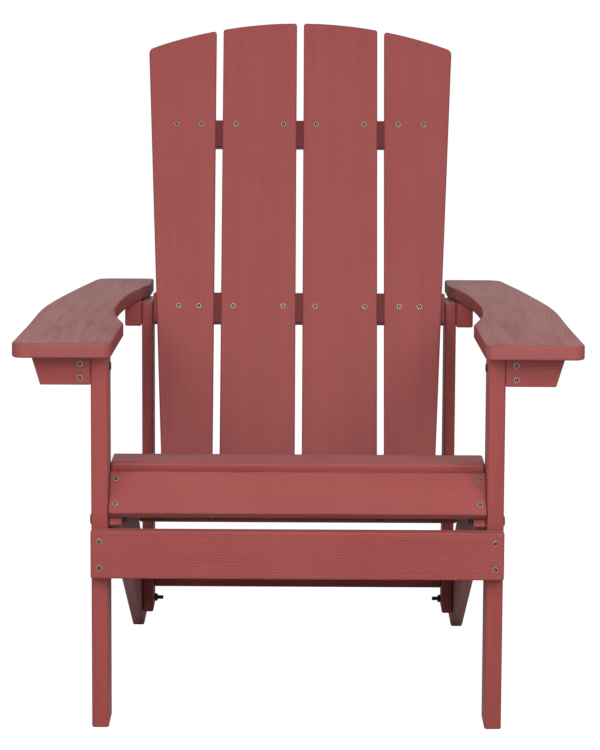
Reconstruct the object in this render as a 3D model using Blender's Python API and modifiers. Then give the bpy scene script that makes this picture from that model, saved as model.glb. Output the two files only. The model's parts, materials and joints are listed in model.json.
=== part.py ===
"""Adirondack chair: a fixed garden chair of plastic boards, held with bolts and screws.

Metres, +Z up. The chair stands on Z = 0 and faces -Y. X = 0 is its plane of symmetry. Depths are
measured back from the front face of the front legs, and the whole chair is moved at the end, so that
Y = 0 is the middle of its depth. "Left" is -X, as seen by someone who faces the chair.
"""

import math

import bmesh
import bpy
from mathutils import Vector

# Fits: the gap between touching faces, and the rounding of the boards' edges.
CLEAR = 0.0003
EDGE = 0.0025
SAWN_EDGE = 0.0008
EDGE_STEPS = 2

# Front legs and the apron across them.
LEG_SPAN = 0.545
LEG_THICK = 0.0225
LEG_DEPTH = 0.070
APRON_THICK = 0.020
APRON_HEIGHT = 0.0644
APRON_BOTTOM_Z = 0.2067

# Seat: a leaning front slat, a flat nose slat, then sloping slats.
SLAT_THICK = 0.016
SLAT_WIDTH = 0.064
SLAT_GAP = 0.006
SLOPING_SLATS = 5
SEAT_SLOPE = math.radians(21.9)
NOSE_TOP_Z = 0.3518
NOSE_FRONT_Y = 0.0445
NOSE_EDGE = 0.004
BEND_GAP = 0.0045
FRONT_SLAT_WIDTH = 0.062
FRONT_SLAT_LEAN = math.radians(34.9)
FRONT_SLAT_DROP = 0.0024

# Side rails, whose tails lie on the ground.
RAIL_THICK = 0.0175
RAIL_SLOPE = math.radians(24.1)
RAIL_DROP = 0.0604
RAIL_SHOULDER = 0.040
FOOT_LENGTH = 0.188
TAIL_HEIGHT = 0.012
TAIL_INSET = 0.006
TAIL_CORNER = 0.006
SHOULDER_CORNER = 0.030

# Back: four slats cut to one arc, which lean back behind the seat.
BACK_RECLINE = math.radians(19.1)
BACK_TOP_Z = 0.9066
BACK_TUCK = 0.0245
BACK_SEAT_GAP = 0.002
BACK_SLAT_GAP = 0.0102
INNER_SLAT_WIDTH = 0.1098
OUTER_TAPER = 0.0411
BACK_SIDE_GAP = 0.0061
ARCH_RADIUS = 0.640
ARCH_POINTS = 3
INNER_CORNER = 0.004
OUTER_CORNER = 0.009

# Cross pieces behind the back slats. Drops are measured on the slats' front plane.
BEAM_THICK = 0.019
BEAM_HEIGHT = 0.0455
BEAM_DROP = 0.0224
UPPER_BATTEN_HEIGHT = 0.041
UPPER_BATTEN_DROP = 0.1570
UPPER_BATTEN_INSET = 0.018
LOWER_BATTEN_HEIGHT = 0.060
LOWER_BATTEN_RISE = 0.0015

# Rear posts and the crossbar between them.
POST_THICK = 0.0163
POST_DEPTH = 0.070
POST_BOTTOM_Z = 0.0346
POST_LEAD = 0.003
CROSSBAR_THICK = 0.019
CROSSBAR_HEIGHT = 0.065
CROSSBAR_BOTTOM_Z = 0.0678

# Arms.
ARM_TOP_Z = 0.5216
ARM_THICK = 0.0195
ARM_FRONT_OVERHANG = 0.034
ARM_REAR_OVERHANG = 0.0555
ARM_OUTER_OVERHANG = 0.1018
ARM_REAR_OUTER_OVERHANG = 0.0305
ARM_INNER_LAP = 0.0060
ARM_TIP_LAP = 0.0115
ARM_REAR_GAP = 0.0039
SCOOP_START_Y = 0.172
SCOOP_DEPTH = 0.0075
# Along the scoop: the share of its length, and how far it stands out of its deepest line.
SCOOP_CURVE = ((0.21, 0.0035), (0.41, 0.0), (0.69, 0.0080), (0.90, 0.0235))
SCOOP_END_SHARE = 0.75
SCOOP_END_STEP = 0.0019
SCOOP_END_CORNER = 0.010
# Along the outer edge from the rear: the share of the arm's length, and of its flare.
FLARE_CURVE = ((0.232, 0.436), (0.478, 0.785), (0.733, 0.884))
ARM_CORNER = 0.014
ARM_TIP_CORNER = 0.005
ARM_REAR_CORNER = 0.022

# Boards under the arms.
BRACKET_THICK = 0.019
BRACKET_HEIGHT = 0.0399
BRACKET_TOP_LENGTH = 0.0785
BRACKET_BOTTOM_LENGTH = 0.0663
BRACKET_SETBACK = 0.001
CLEAT_THICK = 0.0225
CLEAT_LENGTH = 0.120
BLOCK_THICK = 0.0245
BLOCK_HEIGHT = 0.0360
BLOCK_LEAD = 0.001

# Bolts, nuts and screws.
ROUND_STEPS = 12
BOLT_RADIUS = 0.003
BOLT_HEAD_RADIUS = 0.0068
BOLT_HEAD_HEIGHT = 0.0022
BOLT_END = 0.0006
POST_BOLT_END = 0.009
NUT_ACROSS = 0.010
NUT_HEIGHT = 0.0045
CAP_NUT_RADIUS = 0.0057
CAP_NUT_HEIGHT = 0.0024
CAP_NUT_DEPTH = 0.0014
POST_BOLT_RISE = 0.015
POST_BOLT_SPACING = 0.050
POST_BOLT_STAGGER = 0.010
LEG_BOLT_MARGIN = 0.0135
LEG_BOLT_FRONT_Y = 0.022
LEG_BOLT_BACK = 0.0105
CLEAT_BOLT_DROP = 0.0195
SCREW_RADIUS = 0.0019
SCREW_LENGTH = 0.036
SCREW_HEAD_RADIUS = 0.0036
SCREW_HEAD_HEIGHT = 0.0022
SCREW_RECESS_RADIUS = 0.0016
SCREW_RECESS_DEPTH = 0.0012
SCREW_TIP = 0.004
APRON_SCREW_SPACING = 0.0354
FRONT_SCREW_TOP = 0.012
FRONT_SCREW_SPACING = 0.036

# Places that follow from the sizes above.
LEG_OUTER_X = LEG_SPAN / 2
LEG_INNER_X = LEG_OUTER_X - LEG_THICK
RAIL_OUTER_X = LEG_INNER_X - CLEAR
RAIL_INNER_X = RAIL_OUTER_X - RAIL_THICK
POST_OUTER_X = RAIL_INNER_X - CLEAR
POST_INNER_X = POST_OUTER_X - POST_THICK
RAIL_MIDDLE_X = (RAIL_OUTER_X + RAIL_INNER_X) / 2
LEG_MIDDLE_X = (LEG_OUTER_X + LEG_INNER_X) / 2
UNDER_ARM_Z = ARM_TOP_Z - ARM_THICK - CLEAR

RAIL_FLAT_Z = NOSE_TOP_Z - SLAT_THICK - CLEAR
BEND_Y = NOSE_FRONT_Y + SLAT_WIDTH + BEND_GAP
SEAT_RUN = SLOPING_SLATS * SLAT_WIDTH + (SLOPING_SLATS - 1) * SLAT_GAP

UPRIGHT = math.radians(90)


def yz(y, z):
    """A point of the plane of symmetry."""
    return Vector((0.0, y, z))


def up_along(lean):
    """The upward direction of a board that leans back by this angle from the vertical."""
    return yz(math.sin(lean), math.cos(lean))


def out_of(lean):
    """The direction out of the front face of a board that leans back by this angle."""
    return yz(-math.cos(lean), math.sin(lean))


def rail_lower_z(y):
    return RAIL_FLAT_Z - RAIL_DROP - math.tan(RAIL_SLOPE) * y


def on_seat_line(run):
    """The point on the rails' sloping top edge, this far along it from the bend."""
    return yz(BEND_Y + run * math.cos(SEAT_SLOPE), RAIL_FLAT_Z - run * math.sin(SEAT_SLOPE))


SEAT_UP = yz(math.sin(SEAT_SLOPE), math.cos(SEAT_SLOPE))
SEAT_REAR_TOP = on_seat_line(SEAT_RUN) + SEAT_UP * (CLEAR + SLAT_THICK)
BACK_UP = up_along(BACK_RECLINE)
BACK_OUT = out_of(BACK_RECLINE)


def on_back(z):
    """The point on the back slats' front plane at this height."""
    y = SEAT_REAR_TOP.y + BACK_SEAT_GAP + math.tan(BACK_RECLINE) * (z - SEAT_REAR_TOP.z)
    return yz(y, z)


BACK_BOTTOM = on_back(SEAT_REAR_TOP.z - BACK_TUCK)
BEAM_POINT = on_back(ARM_TOP_Z - BEAM_DROP)
BEAM_FACE = BEAM_POINT - BACK_OUT * (SLAT_THICK + CLEAR)
POST_FRONT_Y = BEAM_FACE.y - POST_LEAD
POST_REAR_Y = POST_FRONT_Y + POST_DEPTH
POST_MIDDLE_Y = (POST_FRONT_Y + POST_REAR_Y) / 2
FOOT_FRONT_Y = (RAIL_FLAT_Z - RAIL_DROP) / math.tan(RAIL_SLOPE)
FOOT_REAR_Y = FOOT_FRONT_Y + FOOT_LENGTH


def clear_scene():
    for obj in list(bpy.data.objects):
        bpy.data.objects.remove(obj, do_unlink=True)


def new_collection(name, hidden=False):
    collection = bpy.data.collections.new(name)
    collection.hide_render = hidden
    bpy.context.scene.collection.children.link(collection)
    return collection


def new_material(name, colour, roughness, metallic=0.0):
    material = bpy.data.materials.new(name)
    material.use_nodes = True
    shader = material.node_tree.nodes["Principled BSDF"]
    shader.inputs["Base Color"].default_value = (*colour, 1.0)
    shader.inputs["Roughness"].default_value = roughness
    shader.inputs["Metallic"].default_value = metallic
    material.diffuse_color = (*colour, 1.0)
    return material


clear_scene()
CHAIR = new_collection("adirondack_chair")
CUTTERS = new_collection("cutters", hidden=True)
RED = (0.36, 0.086, 0.072)
STEEL = (0.62, 0.62, 0.60)
BLACK = (0.02, 0.02, 0.022)


def add_object(name, mesh, place, turn, colour, roughness=0.6, metallic=0.0):
    """Adds a finished piece, with a material of its own, to the chair."""
    obj = bpy.data.objects.new(name, mesh)
    obj.location = place
    obj.rotation_euler = turn
    mesh.materials.append(new_material(name, colour, roughness, metallic))
    CHAIR.objects.link(obj)
    return obj


def round_edges(obj, width=EDGE):
    bevel = obj.modifiers.new("rounded edges", "BEVEL")
    bevel.width = width
    bevel.segments = EDGE_STEPS
    bevel.limit_method = "ANGLE"
    bevel.angle_limit = math.radians(40)
    return obj


def board(name, size, place, turn=(0.0, 0.0, 0.0), edge=EDGE):
    """A straight board: a box of this size, with its centre at the place."""
    mesh = bpy.data.meshes.new(name)
    shape = bmesh.new()
    bmesh.ops.create_cube(shape, size=1.0)
    bmesh.ops.scale(shape, vec=size, verts=shape.verts)
    shape.to_mesh(mesh)
    shape.free()
    return round_edges(add_object(name, mesh, place, turn, RED), edge)


def corner(x, y, radius=0.0):
    return Vector((x, y)), radius


def through(x, y):
    """A point that a smooth stretch of an outline passes through."""
    return Vector((x, y)), None


def outline_points(nodes):
    """(place, left handle, right handle, left type, right type) of each Bezier point of an outline."""
    points = []
    for index, (here, radius) in enumerate(nodes):
        before = nodes[index - 1][0]
        after = nodes[(index + 1) % len(nodes)][0]
        back = (before - here).normalized()
        ahead = (after - here).normalized()
        if radius is None:
            along = (after - before).normalized()
            left = here - along * (before - here).length / 3
            right = here + along * (after - here).length / 3
            points.append((here, left, right, "FREE", "FREE"))
        elif radius == 0.0:
            points.append((here, here, here, "VECTOR", "VECTOR"))
        else:
            angle = back.angle(ahead)
            reach = radius / math.tan(angle / 2)
            handle = radius * 4 / 3 * math.tan((math.pi - angle) / 4)
            start = here + back * reach
            end = here + ahead * reach
            points.append((start, start, start - back * handle, "VECTOR", "FREE"))
            points.append((end, end - ahead * handle, end, "FREE", "VECTOR"))
    return points


def outline_mesh(name, nodes, thick, steps):
    """The mesh of a flat outline with this thickness, centred on its own XY plane."""
    curve = bpy.data.curves.new(name, "CURVE")
    curve.dimensions = "2D"
    curve.fill_mode = "BOTH"
    curve.extrude = thick / 2
    curve.resolution_u = steps
    points = outline_points(nodes)
    spline = curve.splines.new("BEZIER")
    spline.bezier_points.add(len(points) - 1)
    spline.use_cyclic_u = True
    for target, (here, left, right, left_type, right_type) in zip(spline.bezier_points, points):
        target.handle_left_type = left_type
        target.handle_right_type = right_type
        target.co = here.to_3d()
        target.handle_left = left.to_3d()
        target.handle_right = right.to_3d()
    guide = bpy.data.objects.new(name + "_outline", curve)
    CUTTERS.objects.link(guide)
    graph = bpy.context.evaluated_depsgraph_get()
    mesh = bpy.data.meshes.new_from_object(guide.evaluated_get(graph))
    bpy.data.objects.remove(guide, do_unlink=True)
    mesh.name = name
    shape = bmesh.new()
    shape.from_mesh(mesh)
    bmesh.ops.remove_doubles(shape, verts=shape.verts, dist=0.00001)
    bmesh.ops.dissolve_limit(
        shape, angle_limit=math.radians(0.5), verts=shape.verts, edges=shape.edges
    )
    bmesh.ops.recalc_face_normals(shape, faces=shape.faces)
    shape.to_mesh(mesh)
    shape.free()
    return mesh


def outline_board(name, nodes, thick, place, turn, steps=4, edge=EDGE):
    """A board cut to a flat outline, whose own Z is its thickness."""
    obj = add_object(name, outline_mesh(name, nodes, thick, steps), place, turn, RED)
    return round_edges(obj, edge)


def turned_object(name, profile, collection):
    """A shape turned about its own Z, from a profile of (radius, height) that runs from top to bottom."""
    mesh = bpy.data.meshes.new(name)
    shape = bmesh.new()
    line = [shape.verts.new((radius, 0.0, height)) for radius, height in profile]
    for first, second in zip(line, line[1:]):
        shape.edges.new((first, second))
    shape.to_mesh(mesh)
    shape.free()
    obj = bpy.data.objects.new(name, mesh)
    collection.objects.link(obj)
    screw = obj.modifiers.new("turned", "SCREW")
    screw.axis = "Z"
    screw.steps = ROUND_STEPS
    screw.render_steps = ROUND_STEPS
    screw.use_merge_vertices = True
    screw.merge_threshold = 0.0001
    screw.use_smooth_shade = False
    return obj


def turned_piece(name, profile, place, turn, colour, roughness, metallic):
    obj = turned_object(name, profile, CHAIR)
    obj.location = place
    obj.rotation_euler = turn
    obj.data.materials.append(new_material(name, colour, roughness, metallic))
    return obj


def cut(boards, name, profile, place, turn):
    """Cuts one turned hole through all these boards."""
    cutter = turned_object(name + "_hole", profile, CUTTERS)
    cutter.location = place
    cutter.rotation_euler = turn
    cutter.hide_render = True
    cutter.display_type = "WIRE"
    for obj in boards:
        hole = obj.modifiers.new(name, "BOOLEAN")
        hole.operation = "DIFFERENCE"
        hole.object = cutter


def dome_profile(radius, height):
    """A low dome above the plane Z = 0, from its top to its rim."""
    dome = [
        (radius * math.sin(a), height * math.cos(a))
        for a in (0.0, math.radians(40), math.radians(70))
    ]
    return [*dome, (radius, 0.0)]


def bolt_profile(length):
    """A domed head above the plane Z = 0, and a shank of this length below it."""
    end = BOLT_RADIUS / 4
    return [
        *dome_profile(BOLT_HEAD_RADIUS, BOLT_HEAD_HEIGHT),
        (BOLT_RADIUS, 0.0),
        (BOLT_RADIUS, end - length),
        (BOLT_RADIUS - end, -length),
        (0.0, -length),
    ]


def shank(name, boards, head, side, reach, colour):
    """A bolt along X with its head outwards at this point, and its hole in the boards."""
    turn = (0.0, side * math.radians(90), 0.0)
    seat = head + Vector((side * CLEAR, 0.0, 0.0))
    turned_piece(name, bolt_profile(reach), seat, turn, colour, 0.35, 0.9)
    hole_radius = BOLT_RADIUS + CLEAR
    hole = [(0.0, EDGE), (hole_radius, EDGE), (hole_radius, -reach), (0.0, -reach)]
    cut(boards, name, hole, head, turn)
    return turn


def bolt(name, boards, head, side, grip, beyond, colour):
    """A bolt through boards of this total grip, and its hexagon nut, which its end passes."""
    reach = grip + NUT_HEIGHT + CLEAR + beyond
    turn = shank(name, boards, head, side, reach, colour)
    nut_middle = head - Vector((side * (grip + CLEAR + NUT_HEIGHT / 2), 0.0, 0.0))
    nut(name.replace("bolt", "nut"), nut_middle, turn, colour)


def capped_bolt(name, boards, head, side, grip, colour):
    """A bolt through boards of this total grip, and its low round nut, which hides its end."""
    shank(name, boards, head, side, grip + CLEAR + CAP_NUT_DEPTH, colour)
    bore = BOLT_RADIUS + CLEAR
    profile = [
        *dome_profile(CAP_NUT_RADIUS, CAP_NUT_HEIGHT),
        (bore, 0.0),
        (bore, CAP_NUT_DEPTH),
        (0.0, CAP_NUT_DEPTH),
    ]
    seat = head - Vector((side * (grip + CLEAR), 0.0, 0.0))
    inwards = (0.0, -side * math.radians(90), 0.0)
    turned_piece(name.replace("bolt", "nut"), profile, seat, inwards, colour, 0.35, 0.9)


def nut(name, middle, turn, colour):
    """A hexagon nut round the origin of its own axes, bored to clear the bolt."""
    mesh = bpy.data.meshes.new(name)
    shape = bmesh.new()
    bmesh.ops.create_cone(
        shape,
        cap_ends=True,
        segments=6,
        radius1=NUT_ACROSS / math.sqrt(3),
        radius2=NUT_ACROSS / math.sqrt(3),
        depth=NUT_HEIGHT,
    )
    shape.to_mesh(mesh)
    shape.free()
    obj = add_object(name, mesh, middle, turn, colour, 0.35, 0.9)
    bore = BOLT_RADIUS + CLEAR
    hole = [(0.0, NUT_HEIGHT), (bore, NUT_HEIGHT), (bore, -NUT_HEIGHT), (0.0, -NUT_HEIGHT)]
    cut([obj], name, hole, middle, turn)


def screw(name, boards, place, turn):
    """A countersunk screw whose head lies flush at this point, with its own Z out of the board."""
    body = [
        (0.0, -SCREW_RECESS_DEPTH),
        (SCREW_RECESS_RADIUS, -SCREW_RECESS_DEPTH),
        (SCREW_RECESS_RADIUS, 0.0),
        (SCREW_HEAD_RADIUS, 0.0),
        (SCREW_RADIUS, -SCREW_HEAD_HEIGHT),
        (SCREW_RADIUS, SCREW_TIP - SCREW_LENGTH),
        (0.0, -SCREW_LENGTH),
    ]
    hole = [
        (0.0, EDGE),
        (SCREW_HEAD_RADIUS + CLEAR, EDGE),
        (SCREW_HEAD_RADIUS + CLEAR, 0.0),
        (SCREW_RADIUS + CLEAR, -SCREW_HEAD_HEIGHT),
        (SCREW_RADIUS + CLEAR, -SCREW_LENGTH - CLEAR),
        (0.0, -SCREW_LENGTH - CLEAR),
    ]
    turned_piece(name, body, place, turn, STEEL, 0.35, 0.9)
    cut(boards, name, hole, place, turn)


def legs():
    """The two front legs."""
    found = {}
    for side, word in ((-1, "left"), (1, "right")):
        size = (LEG_THICK, LEG_DEPTH, UNDER_ARM_Z)
        place = (side * LEG_MIDDLE_X, LEG_DEPTH / 2, UNDER_ARM_Z / 2)
        found[side] = board(f"front_leg_{word}", size, place)
    return found


def rail_nodes():
    """The side rail's outline in the YZ plane, from its front lower corner round to its front end."""
    front = -math.tan(FRONT_SLAT_LEAN)
    level = RAIL_FLAT_Z - RAIL_DROP
    # The front end leans as the front slat does, and meets the lower edge here.
    low_y = (NOSE_FRONT_Y + front * RAIL_DROP) / (1 - front * math.tan(RAIL_SLOPE))
    shoulder = on_seat_line(SEAT_RUN + RAIL_SHOULDER)
    return [
        corner(low_y, level - math.tan(RAIL_SLOPE) * low_y),
        corner(FOOT_FRONT_Y, 0.0),
        corner(FOOT_REAR_Y, 0.0),
        corner(FOOT_REAR_Y - TAIL_INSET, TAIL_HEIGHT, TAIL_CORNER),
        corner(shoulder.y, shoulder.z, SHOULDER_CORNER),
        corner(BEND_Y, RAIL_FLAT_Z),
        corner(NOSE_FRONT_Y, RAIL_FLAT_Z),
    ]


def rails():
    """The two side rails, inside the legs."""
    found = {}
    for side, word in ((-1, "left"), (1, "right")):
        place = (side * RAIL_MIDDLE_X, 0.0, 0.0)
        turn = (UPRIGHT, 0.0, UPRIGHT)
        found[side] = outline_board(f"side_rail_{word}", rail_nodes(), RAIL_THICK, place, turn)
    return found


def posts():
    """The two rear posts, inside the rails, and the crossbar between them."""
    found = {}
    height = UNDER_ARM_Z - POST_BOTTOM_Z
    for side, word in ((-1, "left"), (1, "right")):
        middle_x = side * (POST_OUTER_X + POST_INNER_X) / 2
        place = (middle_x, POST_MIDDLE_Y, POST_BOTTOM_Z + height / 2)
        found[side] = board(f"rear_post_{word}", (POST_THICK, POST_DEPTH, height), place)
    size = (2 * (POST_INNER_X - CLEAR), CROSSBAR_THICK, CROSSBAR_HEIGHT)
    board("rear_crossbar", size, (0.0, POST_MIDDLE_Y, CROSSBAR_BOTTOM_Z + CROSSBAR_HEIGHT / 2))
    return found


def apron(leg_boards):
    """The apron across the front of the legs, with two screws into each."""
    middle = Vector((0.0, -CLEAR - APRON_THICK / 2, APRON_BOTTOM_Z + APRON_HEIGHT / 2))
    front = board("front_apron", (LEG_SPAN, APRON_THICK, APRON_HEIGHT), middle)
    for side, word in ((-1, "left"), (1, "right")):
        for rise, level in ((1, "upper"), (-1, "lower")):
            offset = Vector((side * LEG_MIDDLE_X, -APRON_THICK / 2, rise * APRON_SCREW_SPACING / 2))
            name = f"apron_screw_{word}_{level}"
            screw(name, [front, leg_boards[side]], middle + offset, (UPRIGHT, 0.0, 0.0))


def seat(rail_boards):
    """The leaning front slat with its screws, the flat nose slat and the sloping slats."""
    width = 2 * RAIL_OUTER_X
    up = up_along(FRONT_SLAT_LEAN)
    out = out_of(FRONT_SLAT_LEAN)
    turn = (UPRIGHT - FRONT_SLAT_LEAN, 0.0, 0.0)
    top = yz(NOSE_FRONT_Y, RAIL_FLAT_Z) - up * FRONT_SLAT_DROP + out * CLEAR
    middle = top - up * FRONT_SLAT_WIDTH / 2 + out * SLAT_THICK / 2
    front = board("seat_front_slat", (width, FRONT_SLAT_WIDTH, SLAT_THICK), middle, turn)
    for side, word in ((-1, "left"), (1, "right")):
        for index, level in ((0, "upper"), (1, "lower")):
            down = FRONT_SCREW_TOP + index * FRONT_SCREW_SPACING
            place = top - up * down + out * SLAT_THICK
            place.x = side * RAIL_MIDDLE_X
            screw(f"front_slat_screw_{word}_{level}", [front, rail_boards[side]], place, turn)
    size = (width, SLAT_WIDTH, SLAT_THICK)
    nose = (0.0, NOSE_FRONT_Y + SLAT_WIDTH / 2, NOSE_TOP_Z - SLAT_THICK / 2)
    board("seat_nose_slat", size, nose, edge=NOSE_EDGE)
    for index in range(SLOPING_SLATS):
        run = index * (SLAT_WIDTH + SLAT_GAP) + SLAT_WIDTH / 2
        place = on_seat_line(run) + SEAT_UP * (CLEAR + SLAT_THICK / 2)
        board(f"seat_slat_{index + 1}", size, place, (-SEAT_SLOPE, 0.0, 0.0))


def back_outer_x(rise):
    """The outer edge of an outer back slat, this far up the slats' front plane from their lower ends."""
    at_beam = (BEAM_POINT - BACK_BOTTOM).length
    return POST_INNER_X - BACK_SIDE_GAP + OUTER_TAPER * (rise - at_beam)


def arch(x):
    """The height of the back's arched top at this X, up the slats' front plane from their lower ends."""
    crown = (BACK_TOP_Z - BACK_BOTTOM.z) / math.cos(BACK_RECLINE)
    return crown - ARCH_RADIUS + math.sqrt(ARCH_RADIUS**2 - x**2)


def back_slat_nodes(side, inner_x, outer_low_x, outer_top_x, outer_corner):
    """The outline of one back slat, whose inner edge is upright."""
    span = outer_top_x - inner_x
    steps = [inner_x + span * (i + 1) / (ARCH_POINTS + 1) for i in range(ARCH_POINTS)]
    return [
        corner(side * inner_x, 0.0, INNER_CORNER),
        corner(side * outer_low_x, 0.0, INNER_CORNER),
        corner(side * outer_top_x, arch(outer_top_x), outer_corner),
        *[through(side * x, arch(x)) for x in reversed(steps)],
        corner(side * inner_x, arch(inner_x), INNER_CORNER),
    ]


def back():
    """The four back slats, and the battens and the beam behind them."""
    turn = (UPRIGHT - BACK_RECLINE, 0.0, 0.0)
    middle = BACK_BOTTOM - BACK_OUT * SLAT_THICK / 2
    first = BACK_SLAT_GAP / 2
    second = first + INNER_SLAT_WIDTH + BACK_SLAT_GAP
    top_x = back_outer_x(arch(POST_INNER_X))
    for side, word in ((-1, "left"), (1, "right")):
        edge = first + INNER_SLAT_WIDTH
        inner = back_slat_nodes(side, first, edge, edge, INNER_CORNER)
        outline_board(f"back_slat_inner_{word}", inner, SLAT_THICK, middle, turn)
        outer = back_slat_nodes(side, second, back_outer_x(0.0), top_x, OUTER_CORNER)
        outline_board(f"back_slat_outer_{word}", outer, SLAT_THICK, middle, turn)
    beam_middle = BEAM_FACE - BACK_OUT * BEAM_THICK / 2
    size = (2 * (POST_INNER_X - CLEAR), BEAM_HEIGHT, BEAM_THICK)
    board("arm_level_beam", size, beam_middle, turn)
    upper_point = on_back(BACK_TOP_Z - UPPER_BATTEN_DROP)
    upper_middle = upper_point - BACK_OUT * (SLAT_THICK + CLEAR + BEAM_THICK / 2)
    half = back_outer_x((upper_point - BACK_BOTTOM).length) - UPPER_BATTEN_INSET
    board("upper_back_batten", (2 * half, UPPER_BATTEN_HEIGHT, BEAM_THICK), upper_middle, turn)


def lower_batten():
    """The batten behind the slats' lower ends, held between the two side rails."""
    width = 2 * (RAIL_INNER_X - CLEAR)
    foot = BACK_BOTTOM - BACK_OUT * (SLAT_THICK + CLEAR) + BACK_UP * LOWER_BATTEN_RISE
    middle = foot + BACK_UP * LOWER_BATTEN_HEIGHT / 2 - BACK_OUT * BEAM_THICK / 2
    turn = (UPRIGHT - BACK_RECLINE, 0.0, 0.0)
    board("lower_back_batten", (width, LOWER_BATTEN_HEIGHT, BEAM_THICK), middle, turn)


def arm_nodes(side):
    """An arm's outline seen from above: straight in front, scooped inside and curved outside."""
    front_y = -ARM_FRONT_OVERHANG
    rear_y = POST_REAR_Y + ARM_REAR_OVERHANG
    inner_x = LEG_INNER_X - ARM_INNER_LAP
    tip_x = LEG_INNER_X - ARM_TIP_LAP
    scoop_x = LEG_INNER_X + SCOOP_DEPTH
    rear_x = POST_INNER_X + ARM_REAR_GAP
    outer_x = LEG_OUTER_X + ARM_OUTER_OVERHANG
    rear_outer_x = LEG_OUTER_X + ARM_REAR_OUTER_OVERHANG
    scoop_end_y = POST_FRONT_Y + POST_DEPTH * SCOOP_END_SHARE
    scoop = scoop_end_y - SCOOP_START_Y
    flare = outer_x - rear_outer_x
    length = rear_y - front_y
    inside = [through(scoop_x - out, SCOOP_START_Y + scoop * back) for back, out in SCOOP_CURVE]
    outside = [through(rear_outer_x + flare * out, rear_y - length * on) for on, out in FLARE_CURVE]
    nodes = [
        corner(inner_x, front_y, ARM_CORNER),
        corner(tip_x, SCOOP_START_Y, ARM_TIP_CORNER),
        *inside,
        corner(rear_x + SCOOP_END_STEP, scoop_end_y, SCOOP_END_CORNER),
        corner(rear_x, rear_y, ARM_TIP_CORNER),
        corner(rear_outer_x, rear_y, ARM_REAR_CORNER),
        *outside,
        corner(outer_x, front_y, ARM_CORNER),
    ]
    return [(Vector((side * place.x, place.y)), radius) for place, radius in nodes]


def arms():
    """The two arms."""
    for side, word in ((-1, "left"), (1, "right")):
        place = (0.0, 0.0, ARM_TOP_Z - ARM_THICK / 2)
        outline_board(f"arm_{word}", arm_nodes(side), ARM_THICK, place, (0.0, 0.0, 0.0), steps=5)


def under_arm_boards():
    """The bracket, the cleat behind it and the rear block under each arm."""
    found = {}
    low_z = UNDER_ARM_Z - BRACKET_HEIGHT
    inner_x = LEG_OUTER_X + CLEAR
    bracket_middle_y = BRACKET_SETBACK + BRACKET_THICK / 2
    cleat_front_y = BRACKET_SETBACK + BRACKET_THICK + CLEAR
    for side, word in ((-1, "left"), (1, "right")):
        nodes = [
            corner(side * inner_x, low_z),
            corner(side * (LEG_OUTER_X + BRACKET_BOTTOM_LENGTH), low_z),
            corner(side * (LEG_OUTER_X + BRACKET_TOP_LENGTH), UNDER_ARM_Z),
            corner(side * inner_x, UNDER_ARM_Z),
        ]
        place = (0.0, bracket_middle_y, 0.0)
        turn = (UPRIGHT, 0.0, 0.0)
        outline_board(f"arm_bracket_{word}", nodes, BRACKET_THICK, place, turn, edge=SAWN_EDGE)
        cleat_place = (
            side * (inner_x + CLEAT_THICK / 2),
            cleat_front_y + CLEAT_LENGTH / 2,
            UNDER_ARM_Z - BRACKET_HEIGHT / 2,
        )
        cleat_size = (CLEAT_THICK, CLEAT_LENGTH, BRACKET_HEIGHT)
        found[side] = board(f"front_arm_cleat_{word}", cleat_size, cleat_place)
        block_length = BLOCK_LEAD + POST_DEPTH
        block_place = (
            side * (POST_OUTER_X + CLEAR + BLOCK_THICK / 2),
            POST_REAR_Y - block_length / 2,
            UNDER_ARM_Z - BLOCK_HEIGHT / 2,
        )
        board(f"rear_arm_block_{word}", (BLOCK_THICK, block_length, BLOCK_HEIGHT), block_place)
    return found


def bolts(leg_boards, rail_boards, post_boards, cleat_boards):
    """The bolts and nuts of the three bolted joints on each side."""
    lower_z = rail_lower_z(LEG_BOLT_FRONT_Y) + LEG_BOLT_MARGIN
    upper_z = RAIL_FLAT_Z - LEG_BOLT_MARGIN
    leg_places = ((LEG_BOLT_FRONT_Y, lower_z), (NOSE_FRONT_Y + LEG_BOLT_BACK, upper_z))
    for side, word in ((-1, "left"), (1, "right")):
        for (y, z), level in zip(leg_places, ("lower", "upper")):
            head = Vector((side * LEG_OUTER_X, y, z))
            grip = LEG_OUTER_X - RAIL_INNER_X
            through_boards = [leg_boards[side], rail_boards[side]]
            bolt(f"leg_bolt_{word}_{level}", through_boards, head, side, grip, BOLT_END, STEEL)
        for index, level in enumerate(("lower", "upper")):
            z = POST_BOTTOM_Z + POST_BOLT_RISE + index * POST_BOLT_SPACING
            # The upper bolt passes in front of the crossbar.
            y = POST_MIDDLE_Y - index * (CROSSBAR_THICK / 2 + POST_BOLT_STAGGER)
            head = Vector((side * RAIL_OUTER_X, y, z))
            grip = RAIL_OUTER_X - POST_INNER_X
            through_boards = [rail_boards[side], post_boards[side]]
            bolt(f"post_bolt_{word}_{level}", through_boards, head, side, grip, POST_BOLT_END, BLACK)
        outer_x = LEG_OUTER_X + CLEAR + CLEAT_THICK
        head = Vector((side * outer_x, LEG_DEPTH / 2, UNDER_ARM_Z - CLEAT_BOLT_DROP))
        through_boards = [cleat_boards[side], leg_boards[side]]
        capped_bolt(f"cleat_bolt_{word}", through_boards, head, side, outer_x - LEG_INNER_X, STEEL)


def centre_depth():
    """Moves the whole chair along Y, so that the origin is under the middle of its depth."""
    middle = (FOOT_REAR_Y - ARM_FRONT_OVERHANG) / 2
    for obj in [*CHAIR.objects, *CUTTERS.objects]:
        obj.location.y -= middle


def build_chair():
    leg_boards = legs()
    rail_boards = rails()
    post_boards = posts()
    apron(leg_boards)
    seat(rail_boards)
    back()
    lower_batten()
    arms()
    cleat_boards = under_arm_boards()
    bolts(leg_boards, rail_boards, post_boards, cleat_boards)
    centre_depth()


build_chair()
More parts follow.
